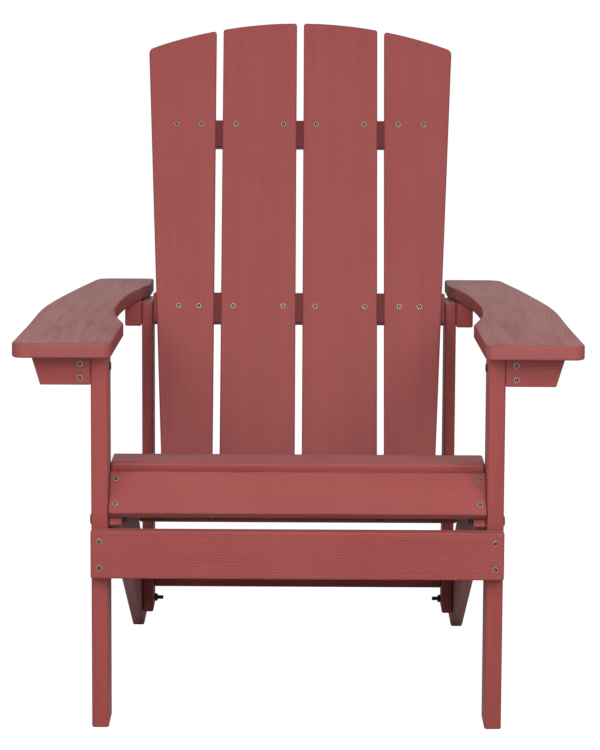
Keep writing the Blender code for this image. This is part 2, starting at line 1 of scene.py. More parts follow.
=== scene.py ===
"""Adirondack chair: the looks of its boards and fasteners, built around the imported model.

Each sub-assembly is a class: it holds its own sizes, makes its finished pieces and gives them
their finish. Everything is in metres, with X across the chair, -Y the front and +Z up.
"""

from __future__ import annotations

import json
import logging
import math
from collections.abc import Callable, Iterator, Sequence
from contextlib import contextmanager
from dataclasses import dataclass, field
from enum import Enum

import bmesh
import bpy
from mathutils import Matrix, Vector

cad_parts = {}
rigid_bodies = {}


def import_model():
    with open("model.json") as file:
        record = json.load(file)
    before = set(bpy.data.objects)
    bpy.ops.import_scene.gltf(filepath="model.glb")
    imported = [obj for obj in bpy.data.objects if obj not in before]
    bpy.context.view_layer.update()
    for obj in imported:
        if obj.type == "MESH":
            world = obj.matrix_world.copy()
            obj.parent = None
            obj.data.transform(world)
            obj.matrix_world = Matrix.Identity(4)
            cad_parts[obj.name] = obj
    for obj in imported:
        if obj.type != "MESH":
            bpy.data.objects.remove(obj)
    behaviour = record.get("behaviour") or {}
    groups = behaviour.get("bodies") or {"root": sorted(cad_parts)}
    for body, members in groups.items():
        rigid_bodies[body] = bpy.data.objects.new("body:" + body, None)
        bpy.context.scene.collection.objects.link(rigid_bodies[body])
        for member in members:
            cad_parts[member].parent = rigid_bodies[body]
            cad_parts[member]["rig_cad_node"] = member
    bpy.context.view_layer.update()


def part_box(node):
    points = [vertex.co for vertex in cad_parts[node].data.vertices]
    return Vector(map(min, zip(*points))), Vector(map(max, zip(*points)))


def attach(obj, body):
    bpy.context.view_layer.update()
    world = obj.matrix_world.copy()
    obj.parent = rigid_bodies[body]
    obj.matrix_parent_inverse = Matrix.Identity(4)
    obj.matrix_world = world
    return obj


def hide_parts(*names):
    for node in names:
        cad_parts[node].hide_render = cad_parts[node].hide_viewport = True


LOG = logging.getLogger("adirondack_chair")

BODY = "root"
SIDES = {"left": -1.0, "right": 1.0}
LEVELS = ("lower", "upper")

Colour = tuple[float, float, float]
Point = tuple[float, float, float]

ORIGIN = Vector((0, 0, 0)).freeze()
ACROSS = Vector((1, 0, 0)).freeze()
AHEAD = Vector((0, -1, 0)).freeze()
BACKWARD = Vector((0, 1, 0)).freeze()
UP = Vector((0, 0, 1)).freeze()

# How near two heights are taken as one, and how squarely a face looks along Z.
SAME_HEIGHT = 1e-6
SQUARELY = 0.9
# The bevel profile of a quarter circle, and the sides of a nut or of a key's socket.
ROUND = 0.5
HEXAGON = 6
# The middle of a pattern that runs from 0 to 1, and half of its run.
MID = 0.5
# How much detail a noise holds.
PLAIN, MIXED, FINE = 1.0, 2.0, 3.0


class Slot(Enum):
    """The record's material slots."""

    BOARD = "red_board"
    ZINC = "zinc_steel"
    BLACK = "black_steel"


# ----------------------------------------------------------------------------- shader maths


class Value:
    """A shader socket that takes part in Python arithmetic."""

    def __init__(self, graph: Graph, socket: bpy.types.NodeSocket) -> None:
        """Wraps one output socket.

        Args:
            graph: the graph that the socket belongs to.
            socket: the output socket.
        """
        self.graph = graph
        self.socket = socket

    def _math(self, operation: str, first: Value | float, second: Value | float) -> Value:
        """One Math node.

        Args:
            operation: the Math node's operation.
            first: its first value.
            second: its second value.

        Returns:
            The node's result.
        """
        return self.graph.node("ShaderNodeMath", {"operation": operation}, {0: first, 1: second})

    def __add__(self, other: Value | float) -> Value:
        """self + other."""
        return self._math("ADD", self, other)

    def __radd__(self, other: float) -> Value:
        """other + self."""
        return self._math("ADD", other, self)

    def __sub__(self, other: Value | float) -> Value:
        """self - other."""
        return self._math("SUBTRACT", self, other)

    def __rsub__(self, other: float) -> Value:
        """other - self."""
        return self._math("SUBTRACT", other, self)

    def __mul__(self, other: Value | float) -> Value:
        """self * other."""
        return self._math("MULTIPLY", self, other)

    def __rmul__(self, other: float) -> Value:
        """other * self."""
        return self._math("MULTIPLY", other, self)


class Graph:
    """Adds nodes to one material's or world's node tree."""

    def __init__(self, tree: bpy.types.NodeTree) -> None:
        """Starts from an empty tree.

        Args:
            tree: the node tree to fill.
        """
        self.tree = tree
        tree.nodes.clear()

    def node(
        self,
        kind: str,
        settings: dict[str, object] | None = None,
        sockets: dict[str | int, object] | None = None,
        output: str | int = 0,
    ) -> Value:
        """Adds one node.

        Args:
            kind: the node's type.
            settings: properties of the node; "ramp" holds a colour ramp's (place, grey) stops.
            sockets: values or links of its input sockets.
            output: the output socket to hand back.

        Returns:
            The chosen output.
        """
        made = self.tree.nodes.new(kind)
        for name, value in (settings or {}).items():
            if name == "ramp":
                self._stops(made.color_ramp, value)
            else:
                setattr(made, name, value)
        for name, value in (sockets or {}).items():
            if isinstance(value, Value):
                self.tree.links.new(value.socket, made.inputs[name])
            else:
                made.inputs[name].default_value = value
        return Value(self, made.outputs[output]) if made.outputs else Value(self, None)

    @staticmethod
    def _stops(ramp: bpy.types.ColorRamp, stops: Sequence[tuple[float, float]]) -> None:
        """Sets a ramp's grey stops.

        Args:
            ramp: the colour ramp.
            stops: (place, grey) pairs, in order.
        """
        while len(ramp.elements) < len(stops):
            ramp.elements.new(1.0)
        for element, (place, grey) in zip(ramp.elements, stops):
            element.position = place
            element.color = (grey, grey, grey, 1.0)

    def noise(self, place: Value, detail: float, roughness: float = 0.5) -> Value:
        """Noise of scale 1 at a place, from 0 to 1.

        Args:
            place: the place, already divided into cells.
            detail: how many finer layers it holds.
            roughness: how strong the finer layers are.

        Returns:
            The noise.
        """
        return self.node(
            "ShaderNodeTexNoise",
            {"noise_dimensions": "3D"},
            {"Vector": place, "Scale": 1.0, "Detail": detail, "Roughness": roughness},
        )

    def cells(self, place: Value, *sizes: float) -> Value:
        """A place scaled so that noise of scale 1 has patches of these sizes along X, Y and Z."""
        scale = tuple(1 / size for size in sizes)
        return self.node("ShaderNodeVectorMath", {"operation": "MULTIPLY"}, {0: place, 1: scale})

    def ramp(self, value: Value, *stops: tuple[float, float]) -> Value:
        """A value passed through grey stops."""
        return self.node("ShaderNodeValToRGB", {"ramp": stops}, {"Fac": value})

    def mix(self, share: Value | float, first: object, second: object) -> Value:
        """Two colours mixed.

        Args:
            share: the share of the second, from 0 to 1.
            first: the first colour.
            second: the second colour.

        Returns:
            The mixed colour.
        """
        return self.node(
            "ShaderNodeMix",
            {"data_type": "RGBA"},
            {"Factor": share, 6: first, 7: second},
            output=2,
        )


def opaque(colour: Colour, gain: float = 1.0) -> tuple[float, float, float, float]:
    """A colour times a gain, with full alpha."""
    return (colour[0] * gain, colour[1] * gain, colour[2] * gain, 1.0)


def new_graph(name: str) -> tuple[bpy.types.Material, Graph]:
    """Makes a material with an empty node tree.

    Args:
        name: the material's name.

    Returns:
        The material and its graph.
    """
    material = bpy.data.materials.new(name)
    material.use_nodes = True
    return material, Graph(material.node_tree)


# ----------------------------------------------------------------------------------- finishes


@dataclass(frozen=True)
class BoardFinish:
    """Matt red board with a fine embossed wood grain that runs along it."""

    # Colours: the raised and sunk parts of the grain, the worn haze, and each board's own tone.
    light: Colour = (0.275, 0.0475, 0.0430)
    dark: Colour = (0.187, 0.0310, 0.0290)
    haze: Colour = (0.250, 0.0820, 0.0760)
    haze_share: float = 0.12
    haze_from: float = 0.40
    haze_full: float = 0.80
    own_swing: float = 0.012
    own_step: float = 2.4
    own_shift: Point = (0.731, 0.517, 0.293)
    # How much the lines, the bands and the clouds change the tone.
    contrast: float = 0.65
    band_contrast: float = 0.55
    cloud_contrast: float = 0.25
    # How the lines of the grain wander, and how far apart they are.
    wander_length: float = 0.170
    wander_width: float = 0.034
    wander: float = 0.0075
    ripple_length: float = 0.022
    ripple_width: float = 0.009
    ripple: float = 0.0007
    line_pitch: float = 0.0031
    fine_pitch: float = 0.0013
    fine_share: float = 0.35
    depth_share: float = 0.8
    # Where the lines fade, along the board and on its edges.
    fade_length: float = 0.075
    fade_width: float = 0.012
    fade_from: float = 0.30
    fade_full: float = 0.65
    fade_least: float = 0.25
    edge_share: float = 0.5
    edge_cosine: float = 0.55
    face_cosine: float = 0.90
    # The sizes of the bands and of the clouds.
    band_length: float = 0.420
    band_width: float = 0.015
    cloud_size: float = 0.110
    # Relief and gloss.
    bump: float = 0.55
    bump_height: float = 0.0004
    band_relief: float = 0.5
    roughness: float = 0.55
    roughness_swing: float = 0.12
    cloud_roughness: float = 0.1
    specular: float = 0.30
    sheen: float = 0.07
    sheen_roughness: float = 0.45

    def make(self, name: str, grain: Vector, face: Vector, seed: int) -> bpy.types.Material:
        """Makes the finish for one board.

        Args:
            name: the material's name.
            grain: the direction that the grain runs in.
            face: the direction that the board's wide face looks in.
            seed: a number of the board's own, which shifts its pattern and its tone.

        Returns:
            The material.
        """
        material, graph = new_graph(name)
        along = grain.normalized()
        through = (face - along * face.dot(along)).normalized()
        turn = Matrix((along, through.cross(along), through)).to_euler("XYZ")
        place = graph.node(
            "ShaderNodeMapping",
            {"vector_type": "POINT"},
            {
                "Vector": graph.node("ShaderNodeTexCoord", output="Object"),
                "Rotation": turn,
                "Location": tuple(seed * step for step in self.own_shift),
            },
        )
        lines, fade = self._lines(graph, place)
        bands = self._patches(graph, place, self.band_length, self.band_width)
        cloud_size = self.cloud_size
        cloud = graph.noise(graph.cells(place, cloud_size, cloud_size, cloud_size), MIXED)
        relief = (lines - MID) * fade * self._facing(graph, through)
        tone = (
            MID
            + relief * self.contrast
            + (bands - MID) * self.band_contrast
            + (cloud - MID) * self.cloud_contrast
        )
        own = 1.0 + self.own_swing * math.sin(seed * self.own_step)
        colour = graph.mix(
            graph.ramp(tone, (0.0, 0.0), (1.0, 1.0)),
            opaque(self.dark, own),
            opaque(self.light, own),
        )
        haze = graph.ramp(cloud, (self.haze_from, 0.0), (self.haze_full, self.haze_share))
        surface = graph.node(
            "ShaderNodeBsdfPrincipled",
            None,
            {
                "Base Color": graph.mix(haze, colour, opaque(self.haze, own)),
                "Roughness": self.roughness
                + relief * self.roughness_swing
                + (cloud - MID) * self.cloud_roughness,
                "Specular IOR Level": self.specular,
                "Sheen Weight": self.sheen,
                "Sheen Roughness": self.sheen_roughness,
                "Normal": graph.node(
                    "ShaderNodeBump",
                    None,
                    {
                        "Strength": self.bump,
                        "Distance": self.bump_height,
                        "Height": relief + bands * self.band_relief,
                    },
                ),
            },
        )
        graph.node("ShaderNodeOutputMaterial", None, {"Surface": surface})
        return material

    def _facing(self, graph: Graph, through: Vector) -> Value:
        """How strong the grain is: full on the wide faces, less on the edges and ends.

        Args:
            graph: the material's graph.
            through: the direction that the wide face looks in.

        Returns:
            The strength, from edge_share to 1.
        """
        normal = graph.node("ShaderNodeNewGeometry", output="Normal")
        cosine = graph.node(
            "ShaderNodeVectorMath",
            {"operation": "DOT_PRODUCT"},
            {0: normal, 1: through},
            output="Value",
        )
        facing = graph.node("ShaderNodeMath", {"operation": "ABSOLUTE"}, {0: cosine})
        return graph.ramp(facing, (self.edge_cosine, self.edge_share), (self.face_cosine, 1.0))

    @staticmethod
    def _wave(graph: Graph, across: Value, pitch: float) -> Value:
        """A sine of the distance across the grain, from -1 to 1."""
        angle = across * (2 * math.pi / pitch)
        return graph.node("ShaderNodeMath", {"operation": "SINE"}, {0: angle})

    @staticmethod
    def _patches(
        graph: Graph, place: Value, length: float, width: float, detail: float = MIXED
    ) -> Value:
        """Noise whose patches are this long along the grain and this wide across it.

        Args:
            graph: the material's graph.
            place: the place on the board, with X along its grain.
            length: the patches' length.
            width: the patches' width.
            detail: how many finer layers the noise holds.

        Returns:
            The noise, from 0 to 1.
        """
        return graph.noise(graph.cells(place, length, width, width), detail)

    def _lines(self, graph: Graph, place: Value) -> tuple[Value, Value]:
        """The raised lines of the grain, and how strongly they show.

        Args:
            graph: the material's graph.
            place: the place on the board, with X along its grain.

        Returns:
            The lines, from 0 to 1, and their strength, from 0 to 1.
        """
        wander = self._patches(graph, place, self.wander_length, self.wander_width)
        ripple = self._patches(graph, place, self.ripple_length, self.ripple_width, PLAIN)
        width = graph.node("ShaderNodeSeparateXYZ", None, {"Vector": place}, "Y")
        depth = graph.node("ShaderNodeSeparateXYZ", None, {"Vector": place}, "Z")
        across = (
            width
            + depth * self.depth_share
            + (wander - MID) * (2 * self.wander)
            + (ripple - MID) * (2 * self.ripple)
        )
        broad = self._wave(graph, across, self.line_pitch)
        fine = self._wave(graph, across + (ripple - MID) * self.fine_pitch, self.fine_pitch)
        wave = broad * (1 - self.fine_share) + fine * self.fine_share
        fade = self._patches(graph, place, self.fade_length, self.fade_width)
        strength = graph.ramp(fade, (self.fade_from, self.fade_least), (self.fade_full, 1.0))
        return wave * MID + MID, strength


@dataclass(frozen=True)
class SteelFinish:
    """Plated or blackened steel, a little uneven and dulled."""

    clean: Colour
    dull: Colour
    roughness: float
    metallic: float
    patch: float = 0.0016
    patch_roughness: float = 0.6
    dull_to: float = 0.38
    clean_from: float = 0.66
    roughness_swing: float = 0.25
    bump: float = 0.12
    bump_height: float = 0.0002

    def make(self, name: str) -> bpy.types.Material:
        """Makes the finish.

        Args:
            name: the material's name.

        Returns:
            The material.
        """
        material, graph = new_graph(name)
        place = graph.node("ShaderNodeTexCoord", output="Object")
        cells = graph.cells(place, self.patch, self.patch, self.patch)
        patches = graph.noise(cells, FINE, self.patch_roughness)
        cleanness = graph.ramp(patches, (self.dull_to, 0.0), (self.clean_from, 1.0))
        relief = graph.node(
            "ShaderNodeBump",
            None,
            {"Strength": self.bump, "Distance": self.bump_height, "Height": patches},
        )
        surface = graph.node(
            "ShaderNodeBsdfPrincipled",
            None,
            {
                "Base Color": graph.mix(cleanness, opaque(self.dull), opaque(self.clean)),
                "Roughness": self.roughness + (patches - MID) * self.roughness_swing,
                "Metallic": self.metallic,
                "Normal": relief,
            },
        )
        graph.node("ShaderNodeOutputMaterial", None, {"Surface": surface})
        return material


ZINC = SteelFinish((0.56, 0.49, 0.48), (0.36, 0.29, 0.285), roughness=0.42, metallic=0.8)
BLACK = SteelFinish((0.050, 0.045, 0.046), (0.018, 0.016, 0.017), roughness=0.42, metallic=0.6)
# Painted shade: a near-black finish that stands in for the shade inside the recess of a screw.
PAINTED_RECESS_SHADE = SteelFinish((0.014, 0.008, 0.008), (0.006, 0.004, 0.004), roughness=0.7, metallic=0.0)


# ---------------------------------------------------------------------------- bench operations


def select_only(piece: bpy.types.Object) -> None:
    """Makes one object the only one selected, and the active one."""
    bpy.ops.object.select_all(action="DESELECT")
    piece.select_set(True)
    bpy.context.view_layer.objects.active = piece


@contextmanager
def editing(piece: bpy.types.Object) -> Iterator[None]:
    """Edit mode on one object, with nothing of its mesh selected at the start."""
    select_only(piece)
    bpy.ops.object.mode_set(mode="EDIT")
    bpy.ops.mesh.select_mode(type="FACE")
    bpy.ops.mesh.select_all(action="DESELECT")
    yield
    bpy.ops.object.mode_set(mode="OBJECT")


def pick_faces(piece: bpy.types.Object, wanted: Callable[[Vector, Vector], bool]) -> None:
    """Selects, in edit mode, the faces that pass a test and no others.

    Args:
        piece: the object in edit mode.
        wanted: tells from a face's centre and normal whether to select it.
    """
    bpy.ops.mesh.select_mode(type="FACE")
    mesh = bmesh.from_edit_mesh(piece.data)
    for face in mesh.faces:
        face.select_set(wanted(face.calc_center_median(), face.normal))
    mesh.select_flush_mode()
    bmesh.update_edit_mesh(piece.data)


def pick_edges(piece: bpy.types.Object, wanted: Callable[[Vector, Vector], bool]) -> None:
    """Selects, in edit mode, the edges that pass a test and no others.

    Args:
        piece: the object in edit mode.
        wanted: tells from an edge's two ends whether to select it.
    """
    bpy.ops.mesh.select_mode(type="EDGE")
    mesh = bmesh.from_edit_mesh(piece.data)
    for edge in mesh.edges:
        edge.select_set(wanted(edge.verts[0].co, edge.verts[1].co))
    mesh.select_flush_mode()
    bmesh.update_edit_mesh(piece.data)


def in_top(first: Vector, second: Vector) -> bool:
    """Whether an edge lies in the top of a piece whose top is at height 0."""
    return min(first.z, second.z) > -SAME_HEIGHT


def looks_down(_middle: Vector, normal: Vector) -> bool:
    """Whether a face looks straight down."""
    return normal.z < -SQUARELY


def round_top(piece: bpy.types.Object, offset: float, segments: int) -> None:
    """Rounds, in edit mode, the edge of the top of a piece whose top is at height 0.

    Args:
        piece: the object in edit mode.
        offset: the rounding's radius.
        segments: its number of steps.
    """
    pick_edges(piece, in_top)
    bpy.ops.mesh.bevel(offset=offset, segments=segments, profile=ROUND)


def extrude(step: float, scale: float = 1.0) -> None:
    """Extrudes the selected faces along Z, then scales their new end across Z.

    Args:
        step: how far along Z.
        scale: the new end's size next to the old.
    """
    bpy.ops.mesh.extrude_region_move(TRANSFORM_OT_translate={"value": (0.0, 0.0, step)})
    if scale != 1.0:
        bpy.ops.transform.resize(value=(scale, scale, 1.0))


def apply_modifier(piece: bpy.types.Object, kind: str, **settings: object) -> None:
    """Adds one modifier and applies it.

    Args:
        piece: the object.
        kind: the modifier's type.
        settings: its properties.
    """
    select_only(piece)
    modifier = piece.modifiers.new(kind.lower(), kind)
    for name, value in settings.items():
        setattr(modifier, name, value)
    bpy.ops.object.modifier_apply(modifier=modifier.name)


def smooth(piece: bpy.types.Object, angle: float) -> None:
    """Smooth shading up to an angle, with the large faces kept flat.

    Args:
        piece: the object.
        angle: the sharpest edge that is still shaded smooth, in degrees.
    """
    select_only(piece)
    bpy.ops.object.shade_smooth_by_angle(angle=math.radians(angle))
    apply_modifier(piece, "WEIGHTED_NORMAL", keep_sharp=True, mode="FACE_AREA", weight=100)


def cylinder(
    name: str, sides: int, radius: float, depth: float, top: float = 0.0
) -> bpy.types.Object:
    """Adds a cylinder round the Z axis, as the start of a piece.

    Args:
        name: its name.
        sides: its number of sides.
        radius: its radius.
        depth: its length.
        top: the height of its top.

    Returns:
        The object, with its place in its mesh.
    """
    bpy.ops.object.select_all(action="DESELECT")
    bpy.ops.mesh.primitive_cylinder_add(
        vertices=sides, radius=radius, depth=depth, location=(0, 0, top - depth / 2)
    )
    piece = bpy.context.object
    piece.name = name
    bpy.ops.object.transform_apply(location=True, rotation=True, scale=True)
    return piece


def turned_to(point: Vector, outward: Vector) -> Matrix:
    """The move that takes +Z to a direction and the origin to a point.

    Args:
        point: where the origin goes.
        outward: where +Z goes.

    Returns:
        The matrix.
    """
    return Matrix.Translation(point) @ outward.to_track_quat("Z", "Y").to_matrix().to_4x4()


def copy_of(model: bpy.types.Object, name: str, move: Matrix) -> bpy.types.Object:
    """Copies a model to its place, with a mesh of its own.

    Args:
        model: the object to copy.
        name: the copy's name.
        move: the matrix that its mesh is moved by.

    Returns:
        The copy.
    """
    mesh = model.data.copy()
    mesh.name = name
    mesh.transform(move)
    piece = bpy.data.objects.new(name, mesh)
    bpy.context.scene.collection.objects.link(piece)
    return piece


def discard(piece: bpy.types.Object) -> None:
    """Deletes a helper object and its mesh."""
    mesh = piece.data
    bpy.data.objects.remove(piece)
    bpy.data.meshes.remove(mesh)


def cut_out(piece: bpy.types.Object, cutter: bpy.types.Object) -> None:
    """Cuts one object's shape out of another, and discards the cutter."""
    apply_modifier(piece, "BOOLEAN", operation="DIFFERENCE", solver="EXACT", object=cutter)
    discard(cutter)


def dress(piece: bpy.types.Object, *materials: bpy.types.Material) -> None:
    """Gives a piece these materials and no others."""
    piece.data.materials.clear()
    for material in materials:
        piece.data.materials.append(material)


def hand_over(piece: bpy.types.Object, slot: Slot, *nodes: str) -> None:
    """Fixes a finished piece to the chair's one body.

    Args:
        piece: the finished piece.
        slot: the record's material slot for the piece, which only goes into the log message.
        nodes: the frame's nodes that it stands for.
    """
    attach(piece, BODY)
    if nodes:
        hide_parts(*nodes)
    LOG.info("%s: %d faces, %s", piece.name, len(piece.data.polygons), slot.value)


# ----------------------------------------------------------------------------------- hardware


@dataclass
class ScrewModel:
    """A countersunk screw with a lobed recess and a pin, its top at the origin, facing +Z."""

    head_radius: float = 0.0036
    head_height: float = 0.0022
    rim: float = 0.0003
    rim_segments: int = 3
    recess_radius: float = 0.0031
    recess_waist: float = 0.88
    recess_depth: float = 0.0015
    lobes: int = 6
    pin_radius: float = 0.0007
    pin_sides: int = 12
    shank_radius: float = 0.0019
    length: float = 0.036
    tip: float = 0.004
    tip_share: float = 0.15
    sides: int = 28
    soften: float = 35.0
    # How far below the top, and above the head's underside, a face counts as in the recess, where
    # it takes the painted shade.
    below_top: float = 1e-5
    above_foot: float = 1e-4
    # How the recess turns from one screw to the next.
    spin: float = 37.0
    spin_x: float = 41.0
    spin_z: float = 67.0
    model: bpy.types.Object = field(init=False)

    def build(self) -> None:
        """Models the screw once."""
        screw = cylinder("screw_model", self.sides, self.head_radius, self.head_height)
        with editing(screw):
            round_top(screw, self.rim, self.rim_segments)
            pick_faces(screw, looks_down)
            bpy.ops.mesh.inset(thickness=self.head_radius - self.shank_radius)
            extrude(-(self.length - self.head_height - self.tip))
            extrude(-self.tip, self.tip_share)
        cut_out(screw, self._recess())
        dress(screw, ZINC.make("zinc_screw"), PAINTED_RECESS_SHADE.make("screw_recess_painted_shade"))
        # Faces in the recess take the second material, the painted shade; the rest is zinc.
        for face in screw.data.polygons:
            reach = math.hypot(face.center.x, face.center.y)
            sunk = self.above_foot - self.head_height < face.center.z < -self.below_top
            face.material_index = int(sunk and reach < self.recess_radius)
        smooth(screw, self.soften)
        self.model = screw

    def _recess(self) -> bpy.types.Object:
        """The lobed shape that is cut out of the head, with a pin left standing in it.

        Returns:
            The cutter.
        """
        depth = self.recess_depth
        cutter = cylinder("recess_cutter", 2 * self.lobes, self.recess_radius, 2 * depth, depth)
        for vertex in cutter.data.vertices:
            turn = round(math.atan2(vertex.co.x, vertex.co.y) * self.lobes / math.pi)
            if turn % 2:
                vertex.co.x *= self.recess_waist
                vertex.co.y *= self.recess_waist
        pin = cylinder("pin_cutter", self.pin_sides, self.pin_radius, 4 * depth, 2 * depth)
        cut_out(cutter, pin)
        return cutter

    def place(self, name: str, point: Vector, outward: Vector, *nodes: str) -> None:
        """Sets one screw.

        Args:
            name: the piece's name.
            point: the middle of its head's top.
            outward: the direction that its head faces.
            nodes: the frame's nodes that it stands for.
        """
        angle = self.spin * (point.x * self.spin_x + point.z * self.spin_z)
        spin = Matrix.Rotation(math.radians(angle), 4, "Z")
        screw = copy_of(self.model, name, turned_to(point, outward) @ spin)
        hand_over(screw, Slot.ZINC, *nodes)


def sink_socket(piece: bpy.types.Object, radius: float, depth: float) -> None:
    """Cuts a six-sided socket for a key into a piece's top, which lies at the origin facing +Z.

    Args:
        piece: the piece.
        radius: the socket's radius, to its corners.
        depth: its depth.
    """
    cut_out(piece, cylinder("socket_cutter", HEXAGON, radius, 2 * depth, depth))


@dataclass
class BoltModel:
    """A round-headed bolt with a threaded end, its head's top at the origin and facing +Z."""

    length: float
    finish: bpy.types.Material
    head_radius: float = 0.0068
    head_height: float = 0.0022
    crown: float = 0.0016
    crown_segments: int = 5
    radius: float = 0.0030
    thread_depth: float = 0.00035
    thread_pitch: float = 0.0010
    threads: int = 14
    socket_radius: float = 0.0023
    socket_depth: float = 0.0014
    sides: int = 32
    soften: float = 30.0

    def build(self, name: str) -> bpy.types.Object:
        """Models the bolt.

        Args:
            name: the model's name.

        Returns:
            The bolt.
        """
        bolt = cylinder(name, self.sides, self.head_radius, self.head_height)
        half_turn = self.thread_pitch / 2
        shank = self.length - self.head_height - (2 * self.threads + 1) * half_turn
        root = 1 - self.thread_depth / self.radius
        with editing(bolt):
            round_top(bolt, self.crown, self.crown_segments)
            pick_faces(bolt, looks_down)
            bpy.ops.mesh.inset(thickness=self.head_radius - self.radius)
            extrude(-shank)
            for _ in range(self.threads):
                extrude(-half_turn, root)
                extrude(-half_turn, 1 / root)
            extrude(-half_turn, root * root)
        sink_socket(bolt, self.socket_radius, self.socket_depth)
        dress(bolt, self.finish)
        smooth(bolt, self.soften)
        return bolt


class NutKind(Enum):
    """A plain hexagon nut, or a low round one with a socket."""

    HEXAGON = "hexagon"
    ROUND = "round"


@dataclass
class RoundNutModel:
    """A low domed nut with a socket, its outer face at the origin and facing +Z."""

    finish: bpy.types.Material
    radius: float = 0.0057
    height: float = 0.0024
    crown: float = 0.0018
    crown_segments: int = 6
    socket_radius: float = 0.0021
    socket_depth: float = 0.0013
    sides: int = 32
    soften: float = 30.0

    def build(self, name: str) -> bpy.types.Object:
        """Models the nut.

        Args:
            name: the model's name.

        Returns:
            The nut.
        """
        nut = cylinder(name, self.sides, self.radius, self.height)
        with editing(nut):
            round_top(nut, self.crown, self.crown_segments)
        sink_socket(nut, self.socket_radius, self.socket_depth)
        dress(nut, self.finish)
        smooth(nut, self.soften)
        return nut


@dataclass
class NutModel:
    """A hexagon nut, its outer face at the origin and facing +Z."""

    finish: bpy.types.Material
    across: float = 0.010
    height: float = 0.0045
    chamfer: float = 0.0006
    chamfer_segments: int = 2
    bore: float = 0.0031
    lip: float = 0.0005
    lip_share: float = 0.92
    soften: float = 25.0

    def build(self, name: str) -> bpy.types.Object:
        """Models the nut.

        Args:
            name: the model's name.

        Returns:
            The nut.
        """
        nut = cylinder(name, HEXAGON, self.across / math.sqrt(3), self.height)
        with editing(nut):
            pick_edges(nut, lambda first, second: abs(first.z - second.z) < SAME_HEIGHT)
            bpy.ops.mesh.bevel(
                offset=self.chamfer, segments=self.chamfer_segments, profile=ROUND
            )
            pick_faces(nut, lambda _middle, normal: normal.z > SQUARELY)
            bpy.ops.mesh.inset(thickness=self.across / 2 - self.chamfer - self.bore)
            extrude(-self.lip, self.lip_share)
        dress(nut, self.finish)
        smooth(nut, self.soften)
        return nut


def frame_nodes() -> list[str]:
    """The names of the frame's nodes, in order."""
    found = (piece.get("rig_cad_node") for piece in bpy.context.scene.objects)
    return sorted(name for name in found if name)


@dataclass(frozen=True)
class BoltedJoint:
    """The bolts of one kind of joint: their slot and their nuts."""

    kind: str
    slot: Slot
    nut: NutKind


@dataclass
class Fasteners:
    """Every bolt and nut of the chair, and the screw that the boards are set with.

    All bolts and nuts have darkened steel, whichever slot of the record they belong to.
    """

    joints: tuple[BoltedJoint, ...] = (
        BoltedJoint("leg", Slot.ZINC, NutKind.HEXAGON),
        BoltedJoint("post", Slot.BLACK, NutKind.HEXAGON),
        BoltedJoint("cleat", Slot.ZINC, NutKind.ROUND),
    )
    screws: ScrewModel = field(default_factory=ScrewModel)

    def build(self) -> None:
        """Models each kind once, then sets a copy in each place."""
        self.screws.build()
        for joint in self.joints:
            finish = BLACK.make(f"{joint.kind}_bolt_steel")
            bolts = [name for name in frame_nodes() if name.startswith(f"{joint.kind}_bolt")]
            low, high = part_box(bolts[0])
            bolt = BoltModel(high.x - low.x, finish).build(f"{joint.kind}_bolt_model")
            maker = NutModel if joint.nut is NutKind.HEXAGON else RoundNutModel
            nut = maker(finish).build(f"{joint.kind}_nut_model")
            for name in bolts:
                nut_name = name.replace("_bolt", "_nut")
                self._set(name, bolt, "turned", joint.slot, outward=True)
                self._set(nut_name, nut, joint.nut.value, joint.slot, outward=False)
            discard(bolt)
            discard(nut)

    @staticmethod
    def _set(node: str, model: bpy.types.Object, word: str, slot: Slot, outward: bool) -> None:
        """Sets one bolt, its head on the outside of the chair, or one nut, its top on the inside.

        Args:
            node: the frame's node that it stands for.
            model: the bolt or nut to copy.
            word: what the piece's name adds to the node's.
            slot: its material slot.
            outward: whether its top looks out of the chair.
        """
        low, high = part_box(node)
        side = math.copysign(1.0, low.x + high.x)
        facing = side if outward else -side
        middle = (low + high) / 2
        top = Vector((high.x if facing > 0 else low.x, middle.y, middle.z))
        piece = copy_of(model, f"{node}_{word}", turned_to(top, Vector((facing, 0, 0))))
        hand_over(piece, slot, node)


# ------------------------------------------------------------------------------------- boards


@dataclass
class Bore:
    """One screw in a board's face, and the frame's node for it where there is one."""

    point: Vector
    outward: Vector
    name: str
    nodes: tuple[str, ...] = ()

    @staticmethod
    def of_node(node: str, outward: Vector) -> Bore:
        """The bore of a screw that the frame has a node for.

        Args:
            node: the frame's node.
            outward: the direction that its head faces.

        Returns:
            The bore, its point in the middle of the head's top.
        """
        low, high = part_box(node)
        middle = (low + high) / 2
        reach = max((v.co - middle).dot(outward) for v in bpy.data.objects[node].data.vertices)
        return Bore(middle + outward * reach, outward, f"{node}_head", (node,))


def corner_bores(stem: str, outward: Vector) -> list[Bore]:
    """The bores of four screws that the frame has nodes for, two at each end of a board.

    Args:
        stem: what the nodes' names begin with.
        outward: the direction that the heads face.

    Returns:
        The bores.
    """
    return [Bore.of_node(f"{stem}_{side}_{level}", outward) for side in SIDES for level in LEVELS]


